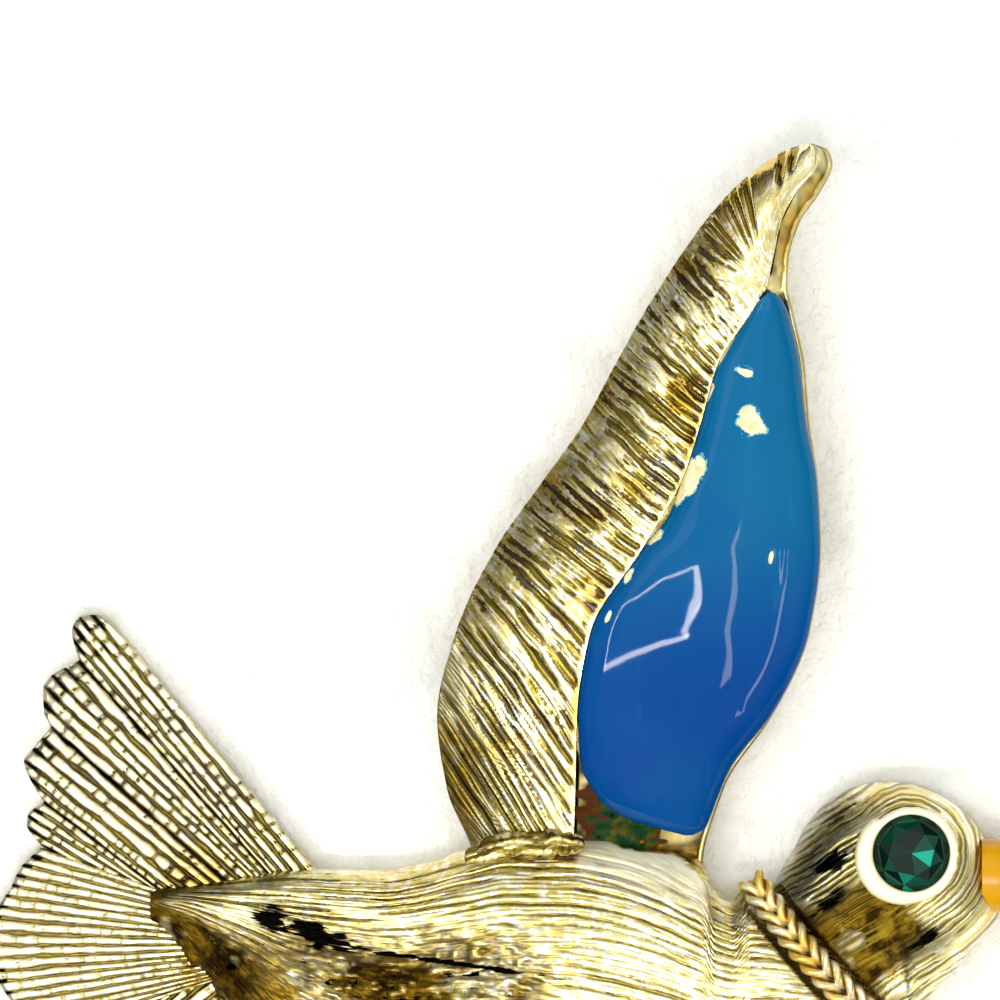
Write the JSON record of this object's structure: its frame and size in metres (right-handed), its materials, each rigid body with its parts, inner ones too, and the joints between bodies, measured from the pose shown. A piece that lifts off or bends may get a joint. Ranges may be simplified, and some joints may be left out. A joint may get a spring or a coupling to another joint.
{
  "type": "figural animal brooch",
  "caption": "Cast gold-tone brooch of a dove in flight, with a blue enamelled wing, a yellow beak, a green stone eye, a twisted wire collar and a pin on its back.",
  "frame": {"origin": "on the back plane that the brooch rests on, under the middle of the outline's box", "axes": "+Z out of the front, towards the viewer; +X from the tail to the beak; +Y from the belly to the wing's tip"},
  "size_m": [0.0554, 0.0566, 0.0077],
  "materials": {
    "gold_casting": "brushed gold plating, tarnished dark in the grooves",
    "blue_enamel": "glossy and puffy, with pale streaks and chips",
    "yellow_enamel": "glossy",
    "green_stone": "faceted and foiled at the back",
    "gold_wire": "polished twisted wire",
    "pin_steel": "plain"
  },
  "bodies": {
    "root": {"bird_casting": "gold_casting", "wing_enamel": "blue_enamel", "beak_enamel": "yellow_enamel", "eye_stone": "green_stone", "rope_collar": "gold_wire", "pin_back": "pin_steel"}
  },
  "joints": []
}
